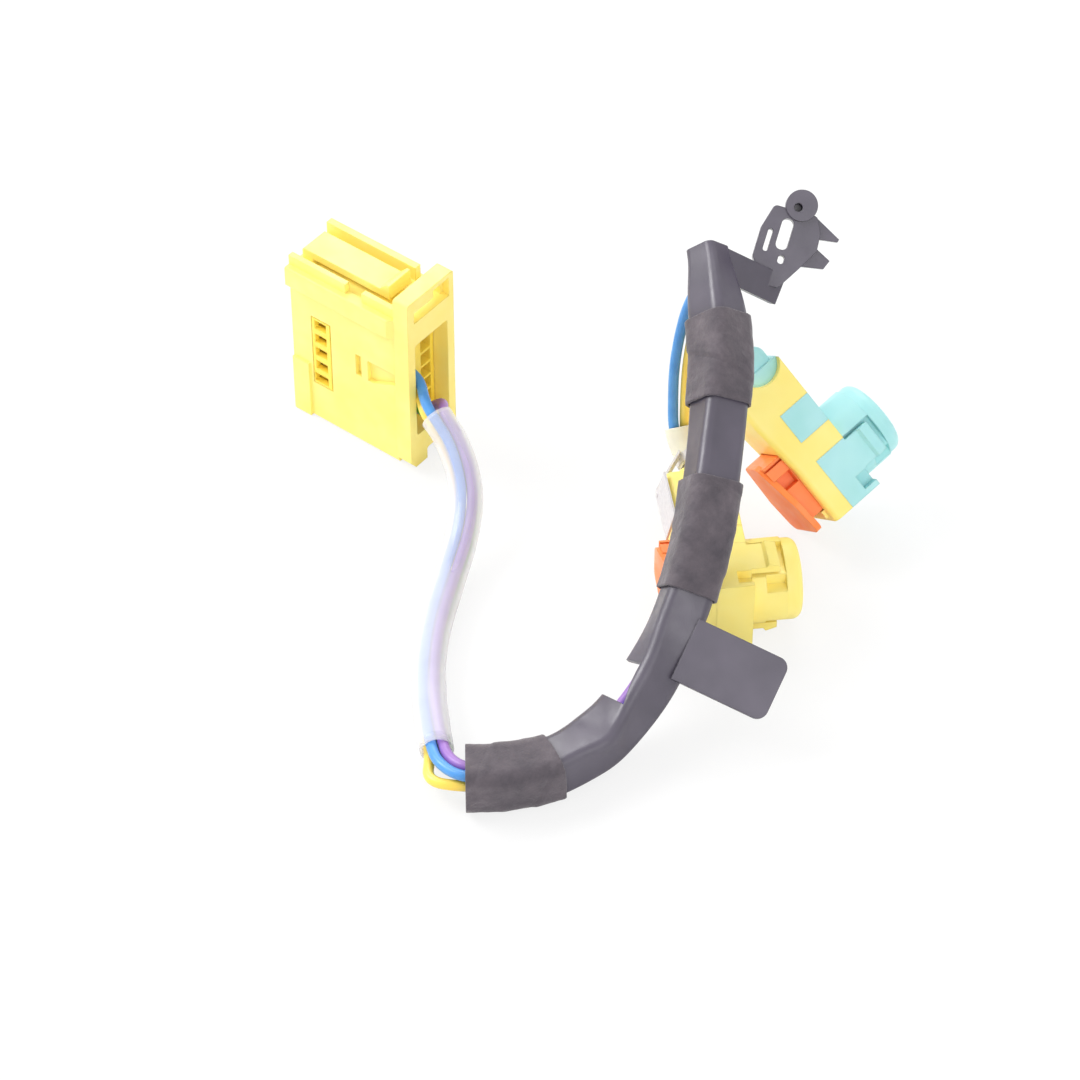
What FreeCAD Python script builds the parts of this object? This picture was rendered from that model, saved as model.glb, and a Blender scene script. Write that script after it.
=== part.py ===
"""Steering-wheel wiring harness: a twelve-way connector, four wires in a moulded guide,
and two right-angle plugs with secondary locks.

Frame: millimetres, Z up. The origin is the centre of the main connector's foot, on the
surface that the harness lies on. X runs along the main connector towards its wire face.
"""
import FreeCAD, Part
import math
import os

V = FreeCAD.Vector
UP = V(0, 0, 1)

# Main connector housing
HOUSING_LENGTH = 21.8
HOUSING_WIDTH = 9.4
HOUSING_HEIGHT = 27.0
HOUSING_WALL = 1.1
COLLAR_LENGTH = 2.6
COLLAR_STEP = 0.35
ARCH_TOP = 31.1
ARCH_THICKNESS = 2.1
RAIL_HEIGHT = 3.4
RAIL_DEPTH = 1.0
TOP_WALL_RISE = 1.8
LATCH_WIDTH = 4.6
LATCH_THICKNESS = 1.2
LATCH_GAP = 1.0
LATCH_LIP = 1.2
KEYWAY_WIDTH = 3.0
KEYWAY_DEPTH = 2.0
EDGE_RADIUS = 0.4

# Contact cavities: two columns of six
ROWS = 6
ROW_PITCH = 2.54
FIRST_ROW = 8.0
COLUMN_PITCH = 3.4
CAVITY_SIZE = 2.1
PIN_WINDOW = 0.9
CARRIER_RECESS = 0.8
FIT = 0.1

# Main terminals
TERMINAL_SIZE = 1.6
TERMINAL_BOX_LENGTH = 10.6
CRIMP_LENGTH = 4.0
CRIMP_WALL = 0.2

# Secondary lock of the main connector
LOCK_LENGTH = 3.6
LOCK_SETBACK = 3.6
LOCK_ROWS = 5
LOCK_PLATE = 0.9
LOCK_TOOTH = 0.44
LOCK_REACH = 2.4
LOCK_CLEARANCE = 0.15

# Wires and sleeves
WIRE_DIAMETER = 1.5
WIRE_SPACING = 1.6
SLEEVE_BORE = 4.0
SLEEVE_WALL = 0.3
BRANCH_BORE = 3.5

# Wire guide: a channel of square section
GUIDE_SIZE = 6.4
GUIDE_FLOOR = 1.2
GUIDE_WALL = 1.0
GUIDE_ROUND = 1.3
GUIDE_TIP_SIZE = 4.6
TAPE_THICKNESS = 0.45
TONGUE_WIDTH = 8.8
TONGUE_REACH = 15.0
TONGUE_START = 1.6
TONGUE_THICKNESS = 1.1

# Clip at the guide's upper end
CLIP_THICKNESS = 2.4
CLIP_BOSS_DIAMETER = 4.4
CLIP_BARB_THICKNESS = 1.2
CLIP_ARM_WIDTH = 4.2
CLIP_ARM_THICKNESS = 1.6

# Right-angle plugs
NOSE_DIAMETER = 11.2
NOSE_LENGTH = 7.1
NOSE_ROUND = 1.3
NOSE_ROOT_STEP = 0.2
PLUG_TAIL = 16.5
PLUG_TOE = 6.6
PLUG_WIDTH = 11.8
PLUG_DEPTH = 8.1
COVER_WALL = 1.2
COVER_RISE = 0.8
COVER_RISE_X = (2.2, 10.5)
WIRE_BLOCK_LENGTH = 3.0
WIRE_BLOCK_WIDTH = 8.4
PLUG_WIRE_DEPTH = 3.4
PLUG_WIRE_PITCH = 3.0
PLUG_CRIMP_X = 14.5

# The plugs' locks
CPA_STANDOUT = 2.9
CPA_TRAVEL = 1.3
CPA_START = -6.2
CPA_LENGTH = 12.0
CPA_PLATE = 0.9
CPA_PLATE_TILT = 4.0
CPA_CLEARANCE = 0.2

# Paper label on the branch
LABEL_THICKNESS = 0.15
LABEL_RING = 1.2
LABEL_NECK = 1.3
LABEL_TUCK = 0.5

# The table frame: how the harness is laid beside the main connector
TABLE_TURN = 38.0
TABLE_ORIGIN = V(-0.6, 1.4, 0)


def laid(x, y, z):
    """A point of the table frame, X to the right and Y away, in the part's frame."""
    return TABLE_ORIGIN + level(x, y, z)


def level(x, y, z):
    """A direction of the table frame in the part's frame."""
    turn = math.radians(TABLE_TURN)
    return V(x * math.cos(turn) - y * math.sin(turn), x * math.sin(turn) + y * math.cos(turn), z)


# Routes in the table frame. The bundle runs through the sleeve, then along the guide.
SLEEVE_ROUTE = [
    laid(8.9, -14.1, 12.3),
    laid(11.3, -17.6, 10.9),
    laid(13.3, -23.4, 8.0),
    laid(13.0, -29.0, 5.0),
    laid(10.9, -36.4, 2.9),
    laid(8.7, -46.6, 2.7),
    laid(8.2, -58.0, 2.7),
    laid(9.7, -68.6, 3.2),
]
GUIDE_ROUTE = [
    laid(13.6, -74.2, 4.0),
    laid(19.4, -74.1, 4.0),
    laid(26.0, -72.1, 4.0),
    laid(32.6, -66.9, 4.8),
    laid(38.0, -60.7, 8.4),
    laid(42.4, -53.3, 14.0),
    laid(45.2, -45.2, 20.0),
    laid(47.1, -33.6, 26.5),
    laid(48.0, -21.8, 33.0),
    laid(46.2, -8.8, 38.8),
]
BARE_POINT = laid(10.9, -71.9, 3.6)
YELLOW_BULGE = 2.2
GUIDE_ROLLS = [0, 0, 0, 8, 42, 62, 66, 62, 50, 45]
BRANCH_ROUTE = [
    laid(42.9, -13.8, 10.2),
    laid(43.4, -15.6, 8.2),
    laid(44.8, -18.0, 7.2),
]
BRANCH_ROLLS = [0, 45, 90]

# Tape wraps, as places along the guide from 0 at its lower end to 1 at its upper end
TAPE_LOWER = (0.0, 0.13)
TAPE_MIDDLE = (0.46, 0.63)
TAPE_UPPER = (0.75, 0.885)
WALL_GAP = (0.265, 0.335)
EXIT_START = 0.892
CAP_START = 0.98
TONGUE_PLACE = 0.384
TONGUE_RUN = level(0.9, -0.35, -0.3)
CLIP_CENTRE = laid(57.4, -4.3, 36.0)
ARM_START = laid(47.8, -9.6, 37.2)
ARM_END = laid(54.2, -8.7, 32.5)

# Where the two plugs lie: the foot of the nose's axis, the nose's run and the tail's run
PLUG_1 = (laid(64.9, -18.75, 11.2), level(0.743, 0.567, 0.355), level(-0.63, 0.389, 0.672))
PLUG_2 = (laid(51.5, -41.0, 6.85), level(0.993, 0.12, 0), level(-0.12, 0.993, 0))

# The label's flag: its top corner, the corner at its neck and its far lower corner
LABEL_FLAG = (laid(40.7, -26.3, 13.5), laid(39.7, -25.9, 8.3), laid(40.95, -34.4, 8.3))


def box(x, y, z):
    """A box between pairs of limits."""
    (x0, x1), (y0, y1), (z0, z1) = sorted(x), sorted(y), sorted(z)
    return Part.makeBox(x1 - x0, y1 - y0, z1 - z0, V(x0, y0, z0))


def rod(radius, start, end):
    """A cylinder between two points."""
    axis = end - start
    return Part.makeCylinder(radius, axis.Length, start, axis)


def prism(points, depth):
    """A closed outline of points, pushed along depth."""
    return Part.Face(Part.makePolygon(points + [points[0]])).extrude(depth)


def edges_along(shape, axis, accept=None):
    """The straight edges of a solid that run along an axis and pass a test on their middle."""
    found = []
    for edge in shape.Edges:
        if len(edge.Vertexes) != 2:
            continue
        run = edge.Vertexes[1].Point - edge.Vertexes[0].Point
        if run.Length < 1e-6 or abs(run.normalize().dot(axis)) < 0.999:
            continue
        if accept is None or accept(edge.CenterOfMass):
            found.append(edge)
    return found


def rounded(shape, radius, axis, accept=None):
    """The solid with its chosen edges rounded."""
    return shape.makeFillet(radius, edges_along(shape, axis, accept))


def fused(solids):
    """One solid from several that touch or cross."""
    whole = solids[0].multiFuse(solids[1:]) if len(solids) > 1 else solids[0]
    return whole.removeSplitter()


def less(shape, tools):
    """The solid with several tools cut from it."""
    return shape.cut(Part.makeCompound(tools)) if tools else shape


# Routes and tubes
def corner_radius(before, corner, after):
    """The radius of the arc that rounds a corner of a route."""
    inward = (corner - before).normalize()
    outward = (after - corner).normalize()
    turn = math.acos(max(-1.0, min(1.0, inward.dot(outward))))
    run = min((corner - before).Length, (after - corner).Length)
    return 0.45 * run / math.tan(turn / 2)


def route_runs(points):
    """The straight runs and arcs of a route: each a start, an end, and an arc's centre and axis."""
    runs = []
    start = points[0]
    for before, corner, after in zip(points, points[1:], points[2:]):
        inward = (corner - before).normalize()
        outward = (after - corner).normalize()
        reach = 0.45 * min((corner - before).Length, (after - corner).Length)
        half_turn = math.acos(max(-1.0, min(1.0, inward.dot(outward)))) / 2
        entry = corner - inward * reach
        leave = corner + outward * reach
        towards = (outward - inward).normalize()
        centre = corner + towards * (reach / math.sin(half_turn))
        runs.append((start, entry, None, None, 0))
        runs.append((entry, leave, centre, inward.cross(outward), math.degrees(2 * half_turn)))
        start = leave
    runs.append((start, points[-1], None, None, 0))
    return runs


def route_path(points):
    """Straight runs joined by tangent arcs, as one wire."""
    edges = []
    for start, end, centre, axis, turn in route_runs(points):
        if centre is None:
            edges.append(Part.LineSegment(start, end).toShape())
        else:
            half = FreeCAD.Rotation(axis, turn / 2)
            middle = centre + half.multVec(start - centre)
            edges.append(Part.Arc(start, middle, end).toShape())
    return Part.Wire(edges)


def tube(points, diameter):
    """A round cord along a route: cylinders and torus arcs, closed by two flat ends."""
    ring = Part.Wire(Part.makeCircle(diameter / 2, points[0], points[1] - points[0]))
    faces = [Part.Face(ring)]
    for start, end, centre, axis, turn in route_runs(points):
        if centre is None:
            faces += ring.extrude(end - start).Faces
            ring = ring.translated(end - start)
        else:
            faces += ring.revolve(centre, axis, turn).Faces
            ring = ring.rotated(centre, axis, turn)
    faces.append(Part.Face(ring))
    shell = Part.makeShell(faces)
    shell.sewShape()
    solid = Part.makeSolid(Part.Shell(shell.Faces))
    return solid if solid.Volume > 0 else solid.reversed()


def frames(points, rolls):
    """At each point of a route: the outward side and the top side, rolled about the run."""
    found = []
    for i, point in enumerate(points):
        before = points[max(i - 1, 0)]
        after = points[min(i + 1, len(points) - 1)]
        if 0 < i < len(points) - 1:
            along = ((point - before).normalize() + (after - point).normalize()).normalize()
        else:
            along = (after - before).normalize()
        found.append(rolled(along, rolls[i]))
    return found


def rolled(along, roll):
    """The outward and top sides of a section that runs along a direction."""
    top = (UP - along * UP.dot(along)).normalize()
    out = along.cross(top)
    turn = math.radians(roll)
    return out * math.cos(turn) + top * math.sin(turn), top * math.cos(turn) - out * math.sin(turn)


def beside(points, rolls, offset):
    """A route that runs beside another one at an offset, which may differ from point to point."""
    places = []
    for i, (point, (side, upper)) in enumerate(zip(points, frames(points, rolls))):
        out, top = offset[i] if isinstance(offset, list) else offset
        if 0 < i < len(points) - 1:
            before = (point - points[i - 1]).normalize()
            after = (points[i + 1] - point).normalize()
            stretch = math.sqrt(2 / (1 + before.dot(after)))
        else:
            stretch = 1.0
        places.append(point + (side * out + upper * top) * stretch)
    return places


# Main connector
BODY_HALF = HOUSING_LENGTH / 2
SIDE = HOUSING_WIDTH / 2
COLLAR_START = BODY_HALF - COLLAR_LENGTH
ROW_Z = [FIRST_ROW + ROW_PITCH * i for i in range(ROWS)]
COLUMN_Y = (-COLUMN_PITCH / 2, COLUMN_PITCH / 2)
BAY_SIDE = SIDE - HOUSING_WALL
BAY_FLOOR = ROW_Z[0] - ROW_PITCH / 2 - 0.9
BAY_ROOF = ROW_Z[-1] + ROW_PITCH / 2 + 0.9
LOCK_X = (-BODY_HALF + LOCK_SETBACK, -BODY_HALF + LOCK_SETBACK + LOCK_LENGTH)
LOCK_BOTTOM = ROW_Z[0] - ROW_PITCH / 2
LOCK_TOP = ROW_Z[LOCK_ROWS - 1] + ROW_PITCH / 2
TERMINAL_BACK = -BODY_HALF + CARRIER_RECESS + 1.0
CRIMP_END = TERMINAL_BACK + TERMINAL_BOX_LENGTH + CRIMP_LENGTH
WIRE_START = CRIMP_END - CRIMP_LENGTH + 0.4


def main_housing():
    """The yellow shell: body, collar, side rail, latch, arch and the lock's window."""
    body = box((-BODY_HALF, BODY_HALF), (-SIDE, SIDE), (0, HOUSING_HEIGHT))
    body = rounded(body, EDGE_RADIUS, V(1, 0, 0))
    collar_side = SIDE + COLLAR_STEP
    collar = box((COLLAR_START, BODY_HALF), (-collar_side, collar_side), (0, HOUSING_HEIGHT))
    arch = box((COLLAR_START, BODY_HALF), (-collar_side, collar_side),
               (HOUSING_HEIGHT, ARCH_TOP))
    span = SIDE - HOUSING_WALL
    arch = arch.cut(box((COLLAR_START, BODY_HALF), (-span, span),
                        (HOUSING_HEIGHT, ARCH_TOP - ARCH_THICKNESS)))
    arch = arch.cut(box((BODY_HALF - 1.2, BODY_HALF), (0.6, span + 0.5),
                        (HOUSING_HEIGHT, ARCH_TOP - 0.8)))
    collar = rounded(fused([collar, arch]), 0.5, V(1, 0, 0), lambda p: p.z > ARCH_TOP - 0.01)
    rail_top = HOUSING_HEIGHT + 0.2
    rail = box((-BODY_HALF, COLLAR_START + 0.4), (-SIDE - RAIL_DEPTH, -SIDE + 0.8),
               (rail_top - RAIL_HEIGHT, rail_top))
    nose = [V(COLLAR_START + 0.4, -SIDE - RAIL_DEPTH, rail_top - RAIL_HEIGHT),
            V(COLLAR_START + 0.4, -SIDE, rail_top - RAIL_HEIGHT),
            V(COLLAR_START - 0.8, -SIDE - RAIL_DEPTH, rail_top - RAIL_HEIGHT)]
    rail = rail.cut(prism(nose, V(0, 0, RAIL_HEIGHT)))
    rail = rounded(rail, 0.3, V(1, 0, 0), lambda p: p.y < -SIDE - RAIL_DEPTH + 0.01)
    back_rail = box((-BODY_HALF, COLLAR_START), (SIDE - 0.8, SIDE + RAIL_DEPTH * 0.6),
                    (rail_top - RAIL_HEIGHT, HOUSING_HEIGHT))
    wall_top = HOUSING_HEIGHT + TOP_WALL_RISE
    front_walls = [box((x0, x1), (-SIDE, -SIDE + 0.9), (HOUSING_HEIGHT, wall_top))
                   for x0, x1 in ((-BODY_HALF, -0.6), (2.4, COLLAR_START))]
    back_wall = box((-BODY_HALF, COLLAR_START - 3.0), (SIDE - HOUSING_WALL, SIDE),
                    (HOUSING_HEIGHT, wall_top + 0.5))
    foot_band = box((-BODY_HALF, -BODY_HALF + 3.0), (-SIDE - COLLAR_STEP, -SIDE + 0.4), (0, 10.0))
    shell = fused([body, collar, rail, back_rail, back_wall, foot_band] + front_walls)
    bay = box((-BODY_HALF, BODY_HALF), (-BAY_SIDE, BAY_SIDE), (BAY_FLOOR, BAY_ROOF))
    bay = rounded(bay, 0.5, V(1, 0, 0))
    keyway = box((-BODY_HALF, BODY_HALF), (-KEYWAY_WIDTH / 2, KEYWAY_WIDTH / 2),
                 (0, KEYWAY_DEPTH))
    keyway = rounded(keyway, 0.4, V(1, 0, 0), lambda p: p.z > KEYWAY_DEPTH - 0.01)
    window = box(LOCK_X, (-SIDE - 0.1, -BAY_SIDE), (LOCK_BOTTOM, LOCK_TOP))
    pocket = 0.75
    slot = box((0.8, 1.8), (-SIDE, -SIDE + pocket), (12.8, 16.6))
    finger = box((3.0, COLLAR_START), (-SIDE, -SIDE + pocket), (12.8, 16.5))
    ramp = prism([V(4.0, -SIDE, 12.8), V(COLLAR_START, -SIDE, 12.8), V(COLLAR_START, -SIDE, 14.8)],
                 V(0, pocket, 0))
    toe = prism([V(BODY_HALF, -collar_side, 0), V(BODY_HALF, -collar_side + 1.0, 0),
                 V(BODY_HALF, -collar_side, 1.3)], V(-COLLAR_LENGTH, 0, 0))
    shell = less(shell, [bay, keyway, window, slot, finger.cut(ramp), toe])
    return fused([shell, latch()])


def latch():
    """The latch arm: a root at the mating end, a long flat tongue and a thumb lip."""
    root = (-BODY_HALF + 0.8, -BODY_HALF + 2.8)
    tip = COLLAR_START - 2.6
    low = HOUSING_HEIGHT + LATCH_GAP
    high = low + LATCH_THICKNESS
    side = (-LATCH_WIDTH / 2 - 0.3, LATCH_WIDTH / 2 - 0.3)
    foot = box(root, side, (HOUSING_HEIGHT - 0.4, low + 0.4))
    arm = box((root[0], tip), side, (low, high))
    arm = rounded(arm, 0.4, V(0, 1, 0), lambda p: p.z > high - 0.01)
    lip = prism([V(tip - 1.9, side[0], high - 0.2), V(tip - 0.5, side[0], high + LATCH_LIP),
                 V(tip, side[0], high + LATCH_LIP), V(tip, side[0], high - 0.2)],
                V(0, LATCH_WIDTH, 0))
    catch = prism([V(-2.4, side[0] + 0.9, low + 0.1), V(-0.6, side[0] + 0.9, low - 0.7),
                   V(-0.6, side[0] + 0.9, low + 0.1)], V(0, LATCH_WIDTH - 1.8, 0))
    return fused([foot, arm, lip, catch])


def main_contact_carrier():
    """The block that holds the terminals: two columns of six cavities and slots for the lock."""
    block = box((-BODY_HALF + CARRIER_RECESS, COLLAR_START), (-BAY_SIDE + FIT, BAY_SIDE - FIT),
                (BAY_FLOOR + FIT, BAY_ROOF - FIT))
    block = rounded(block, 0.5, V(1, 0, 0))
    tools = []
    for y in COLUMN_Y:
        for z in ROW_Z:
            half = CAVITY_SIZE / 2
            cavity = box((TERMINAL_BACK - FIT, COLLAR_START), (y - half, y + half),
                         (z - half, z + half))
            pin = PIN_WINDOW / 2
            window = box((-BODY_HALF, TERMINAL_BACK), (y - pin, y + pin), (z - pin, z + pin))
            tools += [cavity, window]
    gap = LOCK_CLEARANCE
    plate_back = -SIDE + LOCK_PLATE + gap
    tools.append(box((LOCK_X[0], LOCK_X[1]), (-SIDE, plate_back), (LOCK_BOTTOM, LOCK_TOP)))
    for z in lock_teeth():
        tooth = LOCK_TOOTH / 2 + gap
        tools.append(box((LOCK_X[0], LOCK_X[1]), (-SIDE, -SIDE + LOCK_PLATE + LOCK_REACH + gap),
                         (z - tooth, z + tooth)))
    return less(block, tools)


def lock_teeth():
    """The heights of the lock's teeth, one between each pair of rows."""
    return [z + ROW_PITCH / 2 for z in ROW_Z[:LOCK_ROWS - 1]]


def main_secondary_lock():
    """The comb that slides in from the side and holds the terminals."""
    gap = LOCK_CLEARANCE
    x0, x1 = LOCK_X[0] + gap, LOCK_X[1] - gap
    plate = box((x0, x1), (-SIDE, -SIDE + LOCK_PLATE), (LOCK_BOTTOM + gap, LOCK_TOP - gap))
    slots = []
    for i, z in enumerate(ROW_Z[:LOCK_ROWS]):
        half = ROW_PITCH / 2 - 0.5
        wide = 0.5 if i else 0.15
        slots.append(box((x0 + wide, x1 - 0.7), (-SIDE, -SIDE + LOCK_PLATE), (z - half, z + half)))
    comb = less(plate, slots)
    reach = (-SIDE + LOCK_PLATE - 0.2, -SIDE + LOCK_PLATE + LOCK_REACH)
    teeth = [box((x0 + 0.3, x1 - 0.3), reach, (z - LOCK_TOOTH / 2, z + LOCK_TOOTH / 2))
             for z in lock_teeth()]
    return fused([comb] + teeth)


def main_terminal(row):
    """A receptacle terminal: a folded box for the pin and a crimp round the wire."""
    y, z = COLUMN_Y[0], ROW_Z[row]
    half = TERMINAL_SIZE / 2
    box_end = TERMINAL_BACK + TERMINAL_BOX_LENGTH
    shell = box((TERMINAL_BACK, box_end), (y - half, y + half), (z - half, z + half))
    bore = half - CRIMP_WALL
    shell = shell.cut(box((TERMINAL_BACK, box_end - 0.6), (y - bore, y + bore),
                          (z - bore, z + bore)))
    barrel = rod(WIRE_DIAMETER / 2 + CRIMP_WALL, V(box_end - 0.2, y, z), V(CRIMP_END, y, z))
    hole = rod(WIRE_DIAMETER / 2, V(WIRE_START, y, z), V(CRIMP_END, y, z))
    return fused([shell, barrel]).cut(hole)


# Wires: each runs from a main terminal to a plug terminal
HALF_PITCH = WIRE_SPACING / 2
BRANCH_OFFSET = HALF_PITCH + 0.05
BUNDLE = {"blue": (HALF_PITCH, HALF_PITCH), "violet": (-HALF_PITCH, HALF_PITCH),
          "yellow": (HALF_PITCH, -HALF_PITCH), "green": (-HALF_PITCH, -HALF_PITCH)}
WIRE_ORDER = ["violet", "green", "yellow", "blue"]
ENTRY = {
    "blue": [V(10.6, -2.2, 15.2), V(12.7, -4.0, 14.0)],
    "yellow": [V(10.4, -2.2, 13.0), V(12.6, -4.2, 12.3)],
    "green": [V(10.6, -2.4, 10.0), V(13.0, -2.9, 9.7)],
    "violet": [V(10.6, -1.2, 8.9), V(13.4, -0.6, 11.8)],
}
EXIT = {
    "blue": [laid(46.7, -14.8, 37.7), laid(45.2, -11.7, 35.0), laid(43.6, -11.5, 30.8),
             laid(42.6, -11.9, 25.5), laid(42.0, -12.4, 19.8), laid(42.0, -12.8, 14.2)],
    "yellow": [laid(47.75, -15.5, 35.85), laid(46.4, -12.2, 34.0), laid(45.2, -11.8, 30.8),
               laid(44.4, -12.1, 26.0), laid(43.8, -12.6, 20.2), laid(43.7, -13.0, 14.6)],
    "violet": [laid(46.2, -16.4, 35.4), laid(46.1, -14.1, 33.4), laid(46.9, -12.9, 29.9)],
    "green": [laid(48.0, -15.9, 33.9), laid(48.1, -13.0, 32.6), laid(49.2, -12.7, 28.9)],
}


def plug_place(base, nose, tail):
    """The placement of a plug: X runs to its tail, Z out along its nose."""
    nose = V(nose).normalize()
    tail = (tail - nose * tail.dot(nose)).normalize()
    side = nose.cross(tail)
    matrix = FreeCAD.Matrix(tail.x, side.x, nose.x, base.x, tail.y, side.y, nose.y, base.y,
                            tail.z, side.z, nose.z, base.z, 0, 0, 0, 1)
    return FreeCAD.Placement(matrix)


def plug_point(plug, x, y, z):
    """A point of a plug's own frame."""
    return plug_place(*plug).multVec(V(x, y, z))


WIRE_PLUG = {"blue": (PLUG_2, 1), "yellow": (PLUG_2, -1), "violet": (PLUG_1, -1),
             "green": (PLUG_1, 1)}


def wire_route(colour):
    """The points of one wire, from its main terminal to its plug terminal."""
    start = V(WIRE_START, COLUMN_Y[0], ROW_Z[WIRE_ORDER.index(colour)])
    mouth = V(COLLAR_START - 0.7, start.y, start.z)
    middle = SLEEVE_ROUTE + [BARE_POINT] + GUIDE_ROUTE
    rolls = [0] * (len(SLEEVE_ROUTE) + 1) + GUIDE_ROLLS
    offset = [BUNDLE[colour]] * len(middle)
    if colour == "yellow":
        out, top = BUNDLE[colour]
        offset[len(SLEEVE_ROUTE)] = (out + YELLOW_BULGE, top)
    bundle = beside(middle, rolls, offset)[:-1]
    plug, side = WIRE_PLUG[colour]
    y = side * PLUG_WIRE_PITCH / 2
    tail_end = PLUG_TAIL + WIRE_BLOCK_LENGTH
    lead = 1.2 if plug is PLUG_2 else 2.5
    tail = [plug_point(plug, tail_end + lead, y, -PLUG_WIRE_DEPTH),
            plug_point(plug, PLUG_CRIMP_X, y, -PLUG_WIRE_DEPTH)]
    branch = beside(BRANCH_ROUTE, BRANCH_ROLLS, (side * BRANCH_OFFSET, 0)) if plug is PLUG_2 else []
    return [start, mouth] + ENTRY[colour] + bundle + EXIT[colour] + branch + tail


def wire(colour):
    """One insulated wire."""
    return tube(wire_route(colour), WIRE_DIAMETER)


def sleeve(points, bore):
    """A clear sleeve round a bundle."""
    outside = tube(points, bore + 2 * SLEEVE_WALL)
    return outside.cut(tube(points, bore))


# Wire guide
def guide_stations(first, last, count):
    """Places along the guide: the point, its run, its outward and top sides, its size."""
    path = route_path(GUIDE_ROUTE)
    marks = [0.0]
    for a, b in zip(GUIDE_ROUTE, GUIDE_ROUTE[1:]):
        marks.append(marks[-1] + (b - a).Length)
    steps = 400
    points = path.discretize(Number=steps + 1)
    stations = []
    for i in range(count):
        part = first + (last - first) * i / (count - 1)
        at = min(steps - 1, max(0, int(part * steps)))
        blend = part * steps - at
        point = points[at] + (points[at + 1] - points[at]) * blend
        along = (points[min(at + 2, steps)] - points[max(at - 1, 0)]).normalize()
        reach = part * marks[-1]
        j = max(k for k in range(len(marks) - 1) if marks[k] <= reach + 1e-9)
        share = (reach - marks[j]) / (marks[j + 1] - marks[j])
        ease = share * share * (3 - 2 * share)
        roll = GUIDE_ROLLS[j] + (GUIDE_ROLLS[j + 1] - GUIDE_ROLLS[j]) * ease
        out, top = rolled(along, roll)
        narrow = max(0.0, (part - EXIT_START) / (1 - EXIT_START))
        size = 1 - (1 - GUIDE_TIP_SIZE / GUIDE_SIZE) * narrow
        stations.append((point, along, out, top, size))
    return stations


def section(station, out0, out1, top0, top1, radius):
    """A rounded rectangle across the guide, between limits along its outward and top sides."""
    point, _, out, top, size = station
    out0, out1, top0, top1, radius = (v * size for v in (out0, out1, top0, top1, radius))

    def at(a, b):
        return point + out * a + top * b

    edges = []
    corners = [(out1, top1, -1, -1), (out0, top1, 1, -1), (out0, top0, 1, 1), (out1, top0, -1, 1)]
    bend = radius * (1 - math.sqrt(0.5))
    arcs = []
    for i, (a, b, da, db) in enumerate(corners):
        first = at(a, b + db * radius)
        last = at(a + da * radius, b)
        if i % 2:
            first, last = last, first
        arcs.append((first, at(a + da * bend, b + db * bend), last))
    for i, (first, middle, last) in enumerate(arcs):
        edges.append(Part.Arc(first, middle, last).toShape())
        edges.append(Part.LineSegment(last, arcs[(i + 1) % 4][0]).toShape())
    return Part.Wire(edges)


def guide_loft(first, last, count, out, top, radius):
    """A solid that follows the guide between two places."""
    sections = [section(s, out[0], out[1], top[0], top[1], radius)
                for s in guide_stations(first, last, count)]
    return Part.makeLoft(sections, True, False)


GUIDE_HALF = GUIDE_SIZE / 2
STATIONS = 18


def wire_guide():
    """The black moulding: channel, wall gap, open wire exit, tongue and clip."""
    half = GUIDE_HALF
    body = guide_loft(0, 1, STATIONS, (-half, half), (-half, half), GUIDE_ROUND)
    inner = half - GUIDE_WALL
    channel = guide_loft(0, CAP_START, STATIONS, (-half - 1, half - GUIDE_FLOOR), (-inner, inner), 0.5)
    body = body.cut(channel)
    gap = guide_loft(*WALL_GAP, 4, (-half - 1, half - GUIDE_FLOOR), (inner - 1, half + 1), 0.9)
    gap_ends = [guide_loft(WALL_GAP[0] - reach, WALL_GAP[1] + reach, 5, (-half - 1, deep),
                           (inner - 1, half + 1), 0.5)
                for reach, deep in ((0.008, half - 3.2), (0.016, half - 4.6))]
    way_out = guide_loft(EXIT_START, CAP_START - 0.002, 4, (-half - 1, half - GUIDE_FLOOR - 0.15),
                         (-half - 1, inner - 0.15), 0.5)
    body = less(body, [gap, way_out] + gap_ends)
    return fused([body, tongue(), clip()])


def block_along(start, along, width, thickness, length, reach_side, reach_face):
    """A box from a point: length along, centred in width and thickness across."""
    corner = start - width * (reach_side / 2) - thickness * (reach_face / 2)
    points = [corner, corner + width * reach_side,
              corner + width * reach_side + thickness * reach_face, corner + thickness * reach_face]
    return prism(points, along * length)


def tongue():
    """The flat tongue that stands off the guide's outer face."""
    point, along, out, top, _ = guide_stations(TONGUE_PLACE, 1, 2)[0]
    run = (TONGUE_RUN - along * TONGUE_RUN.dot(along)).normalize()
    face = run.cross(along)
    root = point + out * (GUIDE_HALF - GUIDE_FLOOR / 2) + run * TONGUE_START
    reach = TONGUE_REACH - TONGUE_START
    slab = block_along(root, run, along, face, reach, TONGUE_WIDTH, TONGUE_THICKNESS)
    return rounded(slab, 1.5, face, lambda p: (p - root).dot(run) > reach - 1)


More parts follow.
